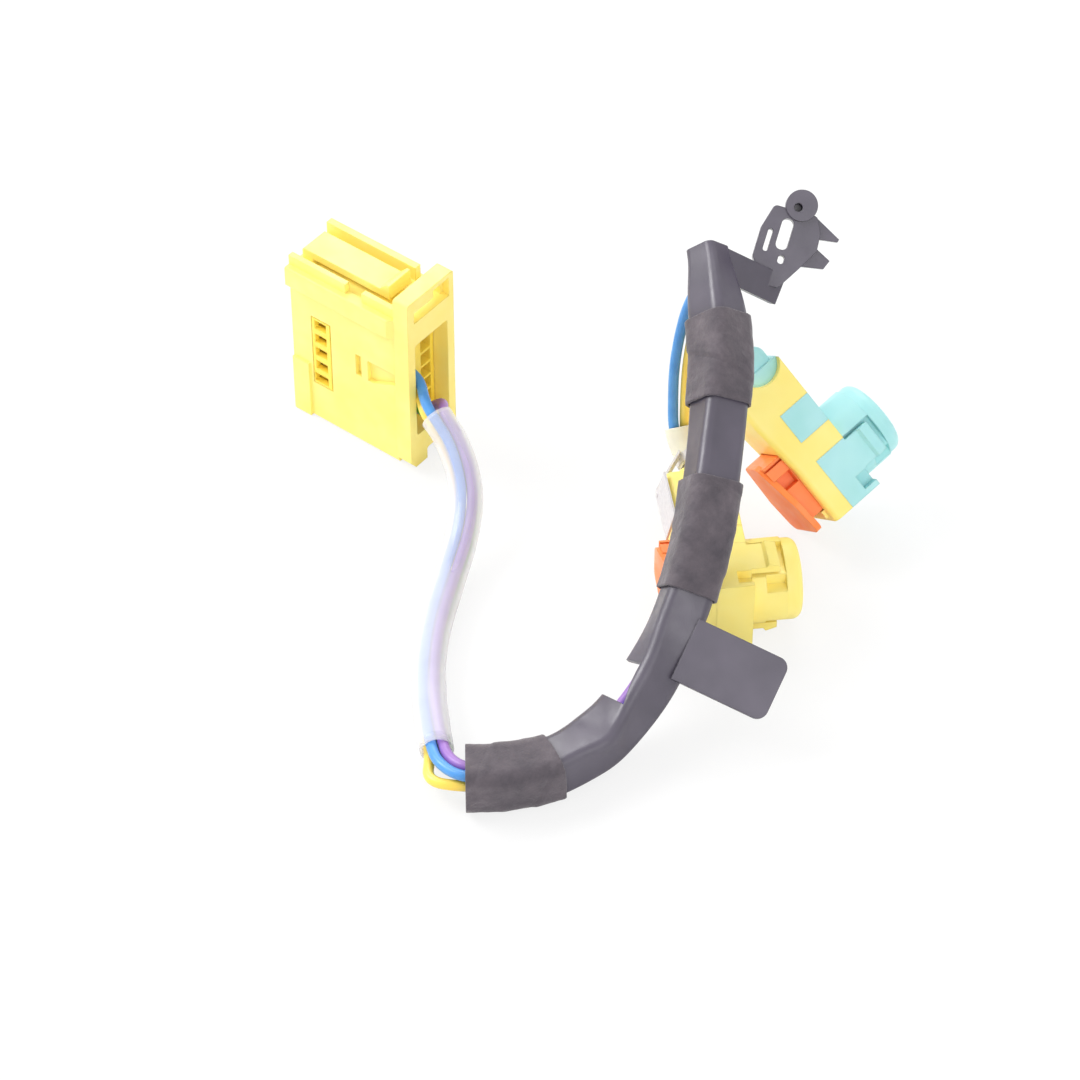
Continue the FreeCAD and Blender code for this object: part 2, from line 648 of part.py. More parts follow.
def clip():
    """The clip: an arm from the guide's end, a plate with its boss and slots, two barbs."""
    rise = math.sqrt(0.5)
    face = level(0, -rise, rise)
    lean = math.radians(17)
    long = level(math.sin(lean), math.cos(lean) * rise, math.cos(lean) * rise)
    side = long.cross(face)

    def at(across, up):
        return CLIP_CENTRE + side * across + long * up - face * (CLIP_THICKNESS / 2)

    outline = [at(-3.2, 4.5), at(-4.1, 1.1), at(-4.1, -3.1), at(-1.8, -6.4), at(0.5, -6.4),
               at(2.6, -2.9), at(4.2, 0), at(4.0, 2.4), at(2.9, 4.6)]
    plate = rounded(prism(outline, face * CLIP_THICKNESS), 0.7, face)
    boss_foot = at(0.4, 5.4)
    boss = rod(CLIP_BOSS_DIAMETER / 2, boss_foot, boss_foot + face * (CLIP_THICKNESS + 0.5))
    barb_back = face * (CLIP_THICKNESS / 2 - CLIP_BARB_THICKNESS / 2)
    upper = prism([p + barb_back for p in (at(3.0, 4.4), at(6.7, 2.5), at(6.6, 2.1), at(3.4, 1.6))],
                  face * CLIP_BARB_THICKNESS)
    lower = prism([p + barb_back for p in (at(3.0, 0.9), at(6.3, -0.7), at(5.8, -2.0),
                                           at(2.6, -2.6))], face * CLIP_BARB_THICKNESS)
    slots = []
    for across, up, width, height in ((-0.7, 1.0, 1.7, 4.4), (-2.7, -0.4, 0.7, 3.2),
                                      (-0.2, -2.5, 0.9, 1.2)):
        start = at(across, up - height / 2) + face * (CLIP_THICKNESS / 2)
        slot = block_along(start, long, side, face, height, width, CLIP_THICKNESS + 2)
        slots.append(rounded(slot, width * 0.45, face))
    hole = rod(0.6, boss_foot - side * 0.4 - long * 0.4 + face, boss_foot - side * 0.4
               - long * 0.4 + face * 5)
    run = ARM_END - ARM_START
    along = V(run).normalize()
    across = (long - along * long.dot(along)).normalize()
    arm = block_along(ARM_START - along, along, across, along.cross(across), run.Length + 3.4,
                      CLIP_ARM_WIDTH, CLIP_ARM_THICKNESS)
    return less(fused([plate, boss, upper, lower, arm]), slots + [hole])


def tape(place):
    """A tape wrap round the guide."""
    half = GUIDE_HALF
    outside = guide_loft(*place, STATIONS // 2, (-half - TAPE_THICKNESS, half + TAPE_THICKNESS),
                         (-half - TAPE_THICKNESS, half + TAPE_THICKNESS), GUIDE_ROUND + 0.6)
    core = guide_loft(0, 1, STATIONS, (-half, half), (-half, half), GUIDE_ROUND)
    return outside.cut(core)


# Right-angle plugs, in their own frame: X to the tail, Y across, Z out along the nose
PLUG_SIDE = PLUG_WIDTH / 2
NOSE_RADIUS = NOSE_DIAMETER / 2
ROOF_INSIDE = -PLUG_DEPTH + COVER_WALL
WINDOW_X = (5.1, 9.9)
WINDOW_DEPTH = 5.1
TOE_PLATE_X = (-PLUG_TOE, 1.75)
TOE_PLATE_DEPTH = 5.1
NOTCH_X = (-5.8, -3.6)
NOTCH_DEPTH = 2.1
ARM_X = (-3.4, 1.3)
ARM_LENGTH = 3.9
ARM_THICKNESS = 1.0
POCKET_TOP = ARM_LENGTH + 0.9
POCKET_BOTTOM = 2.0
POCKET_X = -5.2
POCKET_FLOOR = 2.7
STEM_X = (-4.4, 5.4)
STEM_SIDE = 3.9
STEM_FOOT = -PLUG_DEPTH + 0.2
LEG_X = (-2.6, -0.8)
LEG_THICKNESS = 0.8
LEG_LENGTH = 3.4
FERRITE_X = (2.4, 6.4)
FERRITE_SIDE = 3.2
FERRITE_HALF = 1.5
CONTACT_PITCH = 2.6
CONTACT_REACH = 5.4
STRIP = 1.1
CLIP_Z = (1.2, 4.6)
PIN_BORE = 1.2
COVER_ROUND = 0.9
TAIL_NOTCH = 3.2


def plug_profile(wall):
    """The plug's outline seen from its side, drawn in by a wall, as a solid bar across."""
    low = -PLUG_DEPTH + wall
    side = PLUG_SIDE - wall
    points = [(-PLUG_TOE + wall, 0), (-PLUG_TOE + wall, low), (COVER_RISE_X[0], low),
              (COVER_RISE_X[1], low - COVER_RISE), (PLUG_TAIL, low - COVER_RISE), (PLUG_TAIL, 0)]
    return prism([V(x, -side, z) for x, z in points], V(0, 2 * side, 0))


def plug_body():
    """The plug's inner body: nose, contact chamber, toe plates with latch arms, wire block."""
    nose = rod(NOSE_RADIUS, V(0, 0, 0), V(0, 0, NOSE_LENGTH))
    rim = [e for e in nose.Edges if e.CenterOfMass.z > NOSE_LENGTH - 0.01 and len(e.Vertexes) == 1]
    nose = nose.makeFillet(NOSE_ROUND, rim)
    root = rod(NOSE_RADIUS + NOSE_ROOT_STEP, V(0, 0, 0), V(0, 0, POCKET_TOP))
    window = box(WINDOW_X, (-PLUG_SIDE, PLUG_SIDE), (-WINDOW_DEPTH, 0))
    toe = box(TOE_PLATE_X, (-PLUG_SIDE, PLUG_SIDE), (-TOE_PLATE_DEPTH, 0))
    tail_end = PLUG_TAIL + WIRE_BLOCK_LENGTH
    half = WIRE_BLOCK_WIDTH / 2
    wire_block = box((PLUG_TAIL - 1, tail_end), (-half, half), (ROOF_INSIDE, -0.6))
    wire_block = rounded(wire_block, 1.6, V(0, 1, 0), lambda p: p.x > tail_end - 0.01)
    wire_block = rounded(wire_block, 0.8, V(1, 0, 0), lambda p: abs(p.y) > half - 0.01)
    body = fused([plug_profile(COVER_WALL), nose, root, window, toe, wire_block])
    flat = PLUG_SIDE - ARM_THICKNESS - 0.45
    cuts = []
    for side in (-1, 1):
        cuts.append(box((ARM_X[0] - 0.5, ARM_X[1] + 0.5), (side * flat, side * PLUG_SIDE),
                        (0, POCKET_TOP)))
        cuts.append(box((POCKET_X, ARM_X[0]), (side * POCKET_FLOOR, side * PLUG_SIDE),
                        (POCKET_BOTTOM, POCKET_TOP)))
        cuts.append(box(NOTCH_X, (side * (PLUG_SIDE - 1.6), side * PLUG_SIDE), (-NOTCH_DEPTH, 0)))
    body = less(body, cuts)
    arms = []
    for side in (-1, 1):
        arm = box(ARM_X, (side * (PLUG_SIDE - ARM_THICKNESS), side * PLUG_SIDE),
                  (-0.6, ARM_LENGTH))
        hook = prism([V(ARM_X[0], side * PLUG_SIDE, ARM_LENGTH - 1.9),
                      V(ARM_X[0], side * (PLUG_SIDE + 0.55), ARM_LENGTH - 1.5),
                      V(ARM_X[0], side * PLUG_SIDE, ARM_LENGTH)], V(ARM_X[1] - ARM_X[0], 0, 0))
        arms += [arm, hook]
    return less(fused([body] + arms), plug_chambers())


def plug_chambers():
    """The hollows of a plug's body: wire bores, ferrite bay, contact slots, clip and leg bays."""
    depth = -PLUG_WIRE_DEPTH
    room = STRIP + CPA_CLEARANCE
    gap = CPA_CLEARANCE
    under = -PLUG_DEPTH - COVER_RISE
    tools = [box((FERRITE_X[0] - gap, FERRITE_X[1] + gap), (-FERRITE_SIDE - gap, FERRITE_SIDE + gap),
                 (under, depth + FERRITE_HALF + gap)),
             box((STEM_X[0] - gap, STEM_X[1] + gap), (-STEM_SIDE - gap, STEM_SIDE + gap),
                 (under, STEM_FOOT + CPA_TRAVEL + gap))]
    for side in (-1, 1):
        y = side * PLUG_WIRE_PITCH / 2
        tools.append(rod(WIRE_DIAMETER / 2 + FIT, V(PLUG_CRIMP_X, y, depth),
                         V(PLUG_TAIL + WIRE_BLOCK_LENGTH + 1, y, depth)))
        tools.append(box((-STRIP / 2 - gap, PLUG_CRIMP_X), (y - room, y + room),
                         (depth - room, depth + room)))
        c = side * CONTACT_PITCH / 2
        tools.append(box((-STRIP / 2 - gap, STRIP / 2 + gap),
                         (c - room / 2 - 0.1, c + room / 2 + 0.1), (depth, CONTACT_REACH + 0.4)))
        tools.append(rod(PIN_BORE / 2, V(0, c, CONTACT_REACH), V(0, c, NOSE_LENGTH + 1)))
        leg = (side * (STEM_SIDE - LEG_THICKNESS - gap), side * (STEM_SIDE + gap))
        tools.append(box((LEG_X[0] - gap, LEG_X[1] + gap), leg,
                         (under, STEM_FOOT + LEG_LENGTH + CPA_TRAVEL + gap)))
    tools.append(box((STRIP / 2 + 0.5, STRIP / 2 + 2.2), (-2.6, 2.6), CLIP_Z))
    return tools


def plug_cover():
    """The yellow cover: a roof with the lock's opening, and cheeks cut back round the body."""
    cover = plug_profile(0)
    roof = [e for e in cover.Edges if e.CenterOfMass.z < -PLUG_DEPTH + 0.01
            and abs(e.CenterOfMass.y) > PLUG_SIDE - 0.01]
    cover = cover.makeFillet(COVER_ROUND, roof)
    gap = CPA_CLEARANCE
    tools = [plug_profile(COVER_WALL)]
    tools.append(box(WINDOW_X, (-PLUG_SIDE, PLUG_SIDE), (-WINDOW_DEPTH, 0)))
    tools.append(box(TOE_PLATE_X, (-PLUG_SIDE, PLUG_SIDE), (-TOE_PLATE_DEPTH, 0)))
    tools.append(box((STEM_X[0] - gap, STEM_X[1] + gap), (-STEM_SIDE - gap, STEM_SIDE + gap),
                     (-PLUG_DEPTH - COVER_RISE, ROOF_INSIDE)))
    tools.append(Part.makeCylinder(TAIL_NOTCH, PLUG_WIDTH, V(PLUG_TAIL + 1.0, -PLUG_SIDE, -3.0),
                                   V(0, 1, 0)))
    lip = box((-PLUG_TOE + 0.8, STEM_X[0] - gap), (-STEM_SIDE, STEM_SIDE),
              (-PLUG_DEPTH - 0.5, -PLUG_DEPTH + 0.3))
    return fused([less(cover, tools), lip])


def plug_lock():
    """The orange lock: a tapered thumb plate, a stem with pockets and two legs."""
    top = -PLUG_DEPTH - CPA_STANDOUT
    end = CPA_START + CPA_LENGTH
    wide, narrow = PLUG_SIDE - 0.3, 2.6
    outline = [V(CPA_START, -wide, top), V(CPA_START + 5.0, -wide, top), V(end, -narrow, top),
               V(end, narrow, top), V(CPA_START + 5.0, wide, top), V(CPA_START, wide, top)]
    pivot = V(CPA_START, 0, top)
    plate = rounded(prism(outline, V(0, 0, CPA_PLATE)), 1.4, V(0, 0, 1))
    plate.rotate(pivot, V(0, 1, 0), CPA_PLATE_TILT)
    stem = box(STEM_X, (-STEM_SIDE, STEM_SIDE), (top - 2.0, STEM_FOOT))
    above = box((CPA_START - 5, end + 5), (-wide, wide), (top - 9, top + CPA_PLATE / 2))
    above.rotate(pivot, V(0, 1, 0), CPA_PLATE_TILT)
    pockets = [box((0.9, 3.0), (side * (STEM_SIDE - 1.5), side * STEM_SIDE), (top - 2, STEM_FOOT - 0.4))
               for side in (-1, 1)]
    pockets += [box((4.7, 5.0), (side * (STEM_SIDE - 0.8), side * STEM_SIDE), (top - 2, STEM_FOOT))
                for side in (-1, 1)]
    stem = stem.cut(above).cut(Part.makeCompound(pockets))
    legs = [box(LEG_X, (side * (STEM_SIDE - LEG_THICKNESS), side * STEM_SIDE),
                (STEM_FOOT - 0.4, STEM_FOOT + LEG_LENGTH)) for side in (-1, 1)]
    return fused([plate, stem] + legs)


def plug_ferrite():
    """The suppression ferrite, with a bore for each terminal."""
    depth = -PLUG_WIRE_DEPTH
    block = box(FERRITE_X, (-FERRITE_SIDE, FERRITE_SIDE),
                (depth - FERRITE_HALF, depth + FERRITE_HALF))
    block = rounded(block, 0.4, V(1, 0, 0))
    bores = []
    for side in (-1, 1):
        y = side * PLUG_WIRE_PITCH / 2
        half = STRIP / 2 + 0.2
        bores.append(box(FERRITE_X, (y - half, y + half), (depth - half, depth + half)))
    return less(block, bores)


def plug_terminal(side):
    """One contact: a crimp on the wire, a strip through the ferrite, a tube in the nose."""
    depth = -PLUG_WIRE_DEPTH
    y = side * PLUG_WIRE_PITCH / 2
    c = side * CONTACT_PITCH / 2
    half = STRIP / 2
    strip = box((-half, PLUG_CRIMP_X), (y - half, y + half), (depth - half, depth + half))
    riser = box((-half, half), (c - half, c + half), (depth - half, CONTACT_REACH))
    socket = rod(0.35, V(0, c, CONTACT_REACH - 4), V(0, c, CONTACT_REACH))
    return fused([strip, riser]).cut(socket)


def plug_shorting_clip():
    """The sprung bridge that shorts the two contacts until the plug is seated."""
    x0 = STRIP / 2 + 0.6
    z0, z1 = CLIP_Z[0] + 0.1, CLIP_Z[1] - 0.1
    leaf = 0.3
    back = box((x0 + 1.2, x0 + 1.2 + leaf), (-2.5, 2.5), (z0, z1))
    base = box((x0, x0 + 1.2 + leaf), (-2.5, 2.5), (z0, z0 + leaf))
    lips = [box((x0, x0 + leaf), (side * 0.7, side * 2.1), (z0, z1 - 0.6)) for side in (-1, 1)]
    return fused([back, base] + lips)


def placed(shape, plug):
    """A plug's piece, moved to where the plug lies."""
    moved = shape.copy()
    moved.Placement = plug_place(*plug)
    return moved


def branch_label():
    """The paper flag folded round the branch sleeve, left bare: a ring, a neck and the flag."""
    start, end = BRANCH_ROUTE[1], BRANCH_ROUTE[2]
    along = (end - start).normalize()
    radius = BRANCH_BORE / 2 + SLEEVE_WALL
    middle = start + (end - start) * 0.5
    ring = rod(radius + LABEL_THICKNESS, middle, middle + along * LABEL_RING)
    top, corner, far = LABEL_FLAG
    folded = (far - corner).cross(top - corner).normalize() * (2 * LABEL_THICKNESS)
    flag = prism([corner, far, top + far - corner, top], folded)
    root = middle + along * (LABEL_RING / 2) + along.cross(UP).normalize() * (radius - LABEL_TUCK)
    root.z = corner.z
    away = (corner - root).normalize()
    across = V(away.y, -away.x, 0)
    into = corner + (far - corner).normalize()
    step = across * (2 * LABEL_THICKNESS)
    neck = prism([root, corner, into, into + step, corner + step, root + step], UP * LABEL_NECK)
    return fused([ring, flag, neck]).cut(tube(BRANCH_ROUTE, 2 * radius))


nodes = {
    "main_housing": main_housing,
    "main_contact_carrier": main_contact_carrier,
    "main_secondary_lock": main_secondary_lock,
    "wire_guide": wire_guide,
    "clear_sleeve": lambda: sleeve(SLEEVE_ROUTE, SLEEVE_BORE),
    "branch_sleeve": lambda: sleeve(BRANCH_ROUTE, BRANCH_BORE),
    "branch_label": branch_label,
    "tape_wrap_lower": lambda: tape(TAPE_LOWER),
    "tape_wrap_middle": lambda: tape(TAPE_MIDDLE),
    "tape_wrap_upper": lambda: tape(TAPE_UPPER),
}
for colour in BUNDLE:
    nodes["wire_" + colour] = lambda colour=colour: wire(colour)
    nodes["main_terminal_" + colour] = lambda colour=colour: main_terminal(WIRE_ORDER.index(colour))
PLUG_PIECES = {
    "body": plug_body,
    "cover": plug_cover,
    "lock": plug_lock,
    "ferrite": plug_ferrite,
    "terminal_a": lambda: plug_terminal(1),
    "terminal_b": lambda: plug_terminal(-1),
    "shorting_clip": plug_shorting_clip,
}
for name, plug in (("plug_1", PLUG_1), ("plug_2", PLUG_2)):
    for piece, make in PLUG_PIECES.items():
        nodes[name + "_" + piece] = lambda make=make, plug=plug: placed(make(), plug)

os.makedirs("parts", exist_ok=True)
cords = {"clear_sleeve": SLEEVE_ROUTE, "branch_sleeve": BRANCH_ROUTE}
for colour in BUNDLE:
    cords["wire_" + colour] = wire_route(colour)
for name, route in cords.items():
    radii = [round(corner_radius(*route[i:i + 3]), 1) for i in range(len(route) - 2)]
    print(name, "radii", radii)
for name, make in nodes.items():
    shape = make()
    print(name, shape.isValid(), len(shape.Solids), round(shape.Volume, 2))
    shape.exportStep("parts/" + name + ".step")
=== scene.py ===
import math

import bmesh
import bpy
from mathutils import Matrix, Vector, bvhtree, kdtree, noise


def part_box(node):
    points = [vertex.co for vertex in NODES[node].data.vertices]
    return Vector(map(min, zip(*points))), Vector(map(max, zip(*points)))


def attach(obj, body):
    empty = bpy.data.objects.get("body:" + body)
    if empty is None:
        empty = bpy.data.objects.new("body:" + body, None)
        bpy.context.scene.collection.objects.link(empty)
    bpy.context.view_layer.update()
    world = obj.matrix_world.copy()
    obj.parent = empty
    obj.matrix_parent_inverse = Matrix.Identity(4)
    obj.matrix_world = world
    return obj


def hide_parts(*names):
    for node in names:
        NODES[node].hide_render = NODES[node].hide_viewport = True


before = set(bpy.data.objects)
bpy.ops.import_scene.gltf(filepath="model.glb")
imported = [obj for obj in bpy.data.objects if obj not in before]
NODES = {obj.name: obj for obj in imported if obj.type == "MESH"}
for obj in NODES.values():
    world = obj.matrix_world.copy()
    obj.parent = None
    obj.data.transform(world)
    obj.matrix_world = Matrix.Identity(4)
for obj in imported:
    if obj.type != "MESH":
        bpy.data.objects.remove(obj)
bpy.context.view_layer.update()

MM = 0.001


def mm(point):
    return Vector(point) * MM


# Camera: the photograph's angle
CAMERA_TURN = math.radians(38)
CAMERA_RISE = math.radians(45)
CAMERA_DISTANCE = 0.561
CAMERA_LENS = 133.33
AIM = Vector((0.0339, -0.0048, 0.0))
BACK = Vector((math.sin(CAMERA_TURN) * math.cos(CAMERA_RISE),
               -math.cos(CAMERA_TURN) * math.cos(CAMERA_RISE),
               math.sin(CAMERA_RISE)))
camera_data = bpy.data.cameras.new("camera")
camera_data.lens = CAMERA_LENS
camera_data.sensor_width = 36.0
camera_data.clip_start = 0.01
camera = bpy.data.objects.new("camera", camera_data)
camera.location = AIM + BACK * CAMERA_DISTANCE
camera.rotation_euler = (-BACK).to_track_quat("-Z", "Y").to_euler()
bpy.context.collection.objects.link(camera)
bpy.context.scene.camera = camera

# The table frame: how the harness is laid, in millimetres, as in the part's source
TABLE_TURN = 38.0
TABLE_ORIGIN = Vector((-0.6, 1.4, 0.0))


def V(x, y, z):
    return Vector((x, y, z))


def level(x, y, z):
    """A direction of the table frame in the part's frame."""
    turn = math.radians(TABLE_TURN)
    return V(x * math.cos(turn) - y * math.sin(turn), x * math.sin(turn) + y * math.cos(turn), z)


def laid(x, y, z):
    """A point of the table frame in the part's frame."""
    return TABLE_ORIGIN + level(x, y, z)


# The clear sleeve's route, from the connector to the guide
SLEEVE_ROUTE = [
    laid(8.9, -14.1, 12.3),
    laid(11.3, -17.6, 10.9),
    laid(13.3, -23.4, 8.0),
    laid(13.0, -29.0, 5.0),
    laid(10.9, -36.4, 2.9),
    laid(8.7, -46.6, 2.7),
    laid(8.2, -58.0, 2.7),
    laid(9.7, -68.6, 3.2),
]

# The guide's route, from its foot up to the bridge, and how far its section rolls at each point
GUIDE_ROUTE = [
    laid(13.6, -74.2, 4.0),
    laid(19.4, -74.1, 4.0),
    laid(26.0, -72.1, 4.0),
    laid(32.6, -66.9, 4.8),
    laid(38.0, -60.7, 8.4),
    laid(42.4, -53.3, 14.0),
    laid(45.2, -45.2, 20.0),
    laid(47.1, -33.6, 26.5),
    laid(48.0, -21.8, 33.0),
    laid(46.2, -8.8, 38.8),
]
GUIDE_ROLLS = [0, 0, 0, 8, 42, 62, 66, 62, 50, 45]

# Between the sleeve and the guide the wires are bare, and the yellow one bulges out
BARE_POINT = laid(10.9, -71.9, 3.6)
YELLOW_BULGE = 2.2

# The branch to the lower plug
BRANCH_ROUTE = [
    laid(42.9, -13.8, 10.2),
    laid(43.4, -15.6, 8.2),
    laid(44.8, -18.0, 7.2),
]
BRANCH_ROLLS = [0, 45, 90]

# Plugs: a base point, the way the nose points and the way the tail points
PLUG_1 = (laid(64.9, -18.75, 11.2), level(0.743, 0.567, 0.355), level(-0.63, 0.389, 0.672))
PLUG_2 = (laid(51.5, -41.0, 6.85), level(0.993, 0.12, 0), level(-0.12, 0.993, 0))

# Wires: size, and each one's place across the bundle
WIRE_DIAMETER = 1.5
WIRE_SPACING = 1.6
HALF_PITCH = WIRE_SPACING / 2
BRANCH_OFFSET = HALF_PITCH + 0.05
BUNDLE = {"blue": (HALF_PITCH, HALF_PITCH), "violet": (-HALF_PITCH, HALF_PITCH),
          "yellow": (HALF_PITCH, -HALF_PITCH), "green": (-HALF_PITCH, -HALF_PITCH)}

# Points from the connector to the sleeve, and from the guide to a plug or the branch
ENTRY = {
    "blue": [V(10.6, -2.2, 15.2), V(12.7, -4.0, 14.0)],
    "yellow": [V(10.4, -2.2, 13.0), V(12.6, -4.2, 12.3)],
    "green": [V(10.6, -2.4, 10.0), V(13.0, -2.9, 9.7)],
    "violet": [V(10.6, -1.2, 8.9), V(13.4, -0.6, 11.8)],
}
EXIT = {
    "blue": [laid(46.7, -14.8, 37.7), laid(45.2, -11.7, 35.0), laid(43.6, -11.5, 30.8),
             laid(42.6, -11.9, 25.5), laid(42.0, -12.4, 19.8), laid(42.0, -12.8, 14.2)],
    "yellow": [laid(47.75, -15.5, 35.85), laid(46.4, -12.2, 34.0), laid(45.2, -11.8, 30.8),
               laid(44.4, -12.1, 26.0), laid(43.8, -12.6, 20.2), laid(43.7, -13.0, 14.6)],
    "violet": [laid(46.2, -16.4, 35.4), laid(46.1, -14.1, 33.4), laid(46.9, -12.9, 29.9)],
    "green": [laid(48.0, -15.9, 33.9), laid(48.1, -13.0, 32.6), laid(49.2, -12.7, 28.9)],
}

# The plug of each wire, and its side there
WIRE_PLUG = {"blue": (PLUG_2, 1), "yellow": (PLUG_2, -1), "violet": (PLUG_1, -1),
             "green": (PLUG_1, 1)}

SLEEVE_WALL = 0.3
SLEEVE_OUTSIDE = 4.0 + 2 * SLEEVE_WALL
BRANCH_OUTSIDE = 3.5 + 2 * SLEEVE_WALL

CRIMP_GRIP = 3.6
HOUSING_MOUTH = 7.6
PLUG_CRIMP_X = 14.5
PLUG_TAIL_END = 19.5
PLUG_WIRE_DEPTH = 3.4
PLUG_WIRE_PITCH = 3.0
LOWER_PLUG_LEAD = 1.2
UPPER_PLUG_LEAD = 2.5


def rolled(along, roll):
    """The outward and top sides of a section that runs along a direction."""
    up = V(0, 0, 1)
    top = (up - along * up.dot(along)).normalized()
    out = along.cross(top)
    turn = math.radians(roll)
    return out * math.cos(turn) + top * math.sin(turn), top * math.cos(turn) - out * math.sin(turn)


def beside(points, rolls, offsets):
    """A route's points moved sideways, so that a wire keeps its place in the bundle."""
    places = []
    for i, (point, roll, (out, top)) in enumerate(zip(points, rolls, offsets)):
        before = (point - points[max(i - 1, 0)]).normalized()
        after = (points[min(i + 1, len(points) - 1)] - point).normalized()
        side, upper = rolled((before + after).normalized(), roll)
        inside = 0 < i < len(points) - 1
        stretch = math.sqrt(2 / (1 + before.dot(after))) if inside else 1.0
        places.append(point + (side * out + upper * top) * stretch)
    return places


def plug_point(plug, x, y, z):
    """A point of a plug's own frame: X to its tail, Z out along its nose."""
    base, nose, tail = plug
    nose = nose.normalized()
    tail = (tail - nose * tail.dot(nose)).normalized()
    return base + tail * x + nose.cross(tail) * y + nose * z


def wire_route(colour):
    """The points of one wire, from its main terminal to its plug."""
    low, high = (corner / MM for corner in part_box("main_terminal_" + colour))
    y, z = (low.y + high.y) / 2, (low.z + high.z) / 2
    middle = SLEEVE_ROUTE + [BARE_POINT] + GUIDE_ROUTE
    rolls = [0] * (len(SLEEVE_ROUTE) + 1) + GUIDE_ROLLS
    offsets = [BUNDLE[colour]] * len(middle)
    if colour == "yellow":
        out, top = BUNDLE[colour]
        offsets[len(SLEEVE_ROUTE)] = (out + YELLOW_BULGE, top)
    bundle = beside(middle, rolls, offsets)[:-1]
    plug, side = WIRE_PLUG[colour]
    branch = []
    if plug is PLUG_2:
        branch = beside(BRANCH_ROUTE, BRANCH_ROLLS, [(side * BRANCH_OFFSET, 0)] * len(BRANCH_ROUTE))
    lead = LOWER_PLUG_LEAD if plug is PLUG_2 else UPPER_PLUG_LEAD
    across = side * PLUG_WIRE_PITCH / 2
    tail = [plug_point(plug, PLUG_TAIL_END + lead, across, -PLUG_WIRE_DEPTH),
            plug_point(plug, PLUG_CRIMP_X, across, -PLUG_WIRE_DEPTH)]
    start = [V(high.x - CRIMP_GRIP, y, z), V(HOUSING_MOUTH, y, z)]
    return start + ENTRY[colour] + bundle + EXIT[colour] + branch + tail


WIRES = {colour: wire_route(colour) for colour in BUNDLE}


# Materials
def material(name):
    made = bpy.data.materials.new(name)
    made.use_nodes = True
    tree = made.node_tree
    return made, tree, tree.nodes["Principled BSDF"]


def link(tree, source, output, target, socket):
    tree.links.new(source.outputs[output], target.inputs[socket])


def noise_node(tree, scale, detail=3.0, rough=0.5):
    place = tree.nodes.new("ShaderNodeTexCoord")
    made = tree.nodes.new("ShaderNodeTexNoise")
    made.inputs["Scale"].default_value = scale
    made.inputs["Detail"].default_value = detail
    made.inputs["Roughness"].default_value = rough
    link(tree, place, "Object", made, "Vector")
    return made


def ramp_node(tree, source, output, stops):
    made = tree.nodes.new("ShaderNodeValToRGB")
    while len(made.color_ramp.elements) < len(stops):
        made.color_ramp.elements.new(0.5)
    for element, (at, colour) in zip(made.color_ramp.elements, stops):
        element.position = at
        element.color = (*colour, 1.0)
    link(tree, source, output, made, "Fac")
    return made


def bump_node(tree, source, output, distance, strength, below=None):
    made = tree.nodes.new("ShaderNodeBump")
    made.inputs["Strength"].default_value = strength
    made.inputs["Distance"].default_value = distance
    link(tree, source, output, made, "Height")
    if below is not None:
        link(tree, below, "Normal", made, "Normal")
    return made


def srgb(r, g, b):
    """A colour as it shows on screen, in linear light."""
    return tuple((c / 255 / 12.92) if c / 255 <= 0.04045 else ((c / 255 + 0.055) / 1.055) ** 2.4
                 for c in (r, g, b))


def between(a, b, share):
    return tuple(x + (y - x) * share for x, y in zip(a, b))


def moulded(name, light, dark, rough, grain=0.00001, soft_edge=0.00022, glow=0.0, gloss=0.45):
    """Moulded plastic: slow flow marks in colour, a fine spark-eroded grain, softened edges."""
    made, tree, shader = material(name)
    flow = noise_node(tree, 160.0, 2.0)
    tint = ramp_node(tree, flow, "Fac", [(0.3, dark), (0.7, light)])
    link(tree, tint, "Color", shader, "Base Color")
    fine = noise_node(tree, 5200.0, 2.0)
    patch = noise_node(tree, 420.0, 3.0)
    sheen = ramp_node(tree, patch, "Fac", [(0.3, (rough - 0.07,) * 3), (0.7, (rough + 0.08,) * 3)])
    link(tree, sheen, "Color", shader, "Roughness")
    edge = tree.nodes.new("ShaderNodeBevel")
    edge.samples = 4
    edge.inputs["Radius"].default_value = soft_edge
    relief = bump_node(tree, fine, "Fac", grain, 0.35, edge)
    link(tree, relief, "Normal", shader, "Normal")
    shader.inputs["Specular IOR Level"].default_value = gloss
    if glow:
        shader.inputs["Subsurface Weight"].default_value = glow
        shader.inputs["Subsurface Radius"].default_value = (1.0, 0.75, 0.3)
        shader.inputs["Subsurface Scale"].default_value = 0.0009
    return made


def insulation(name, light, dark):
    """Extruded wire insulation: glossy, with faint drawing lines and handling marks."""
    made, tree, shader = material(name)
    flow = noise_node(tree, 300.0, 3.0)
    tint = ramp_node(tree, flow, "Fac", [(0.3, dark), (0.72, light)])
    link(tree, tint, "Color", shader, "Base Color")
    marks = noise_node(tree, 1500.0, 3.0)
    sheen = ramp_node(tree, marks, "Fac", [(0.35, (0.28,) * 3), (0.7, (0.42,) * 3)])
    link(tree, sheen, "Color", shader, "Roughness")
    relief = bump_node(tree, marks, "Fac", 0.00003, 0.3)
    link(tree, relief, "Normal", shader, "Normal")
    return made


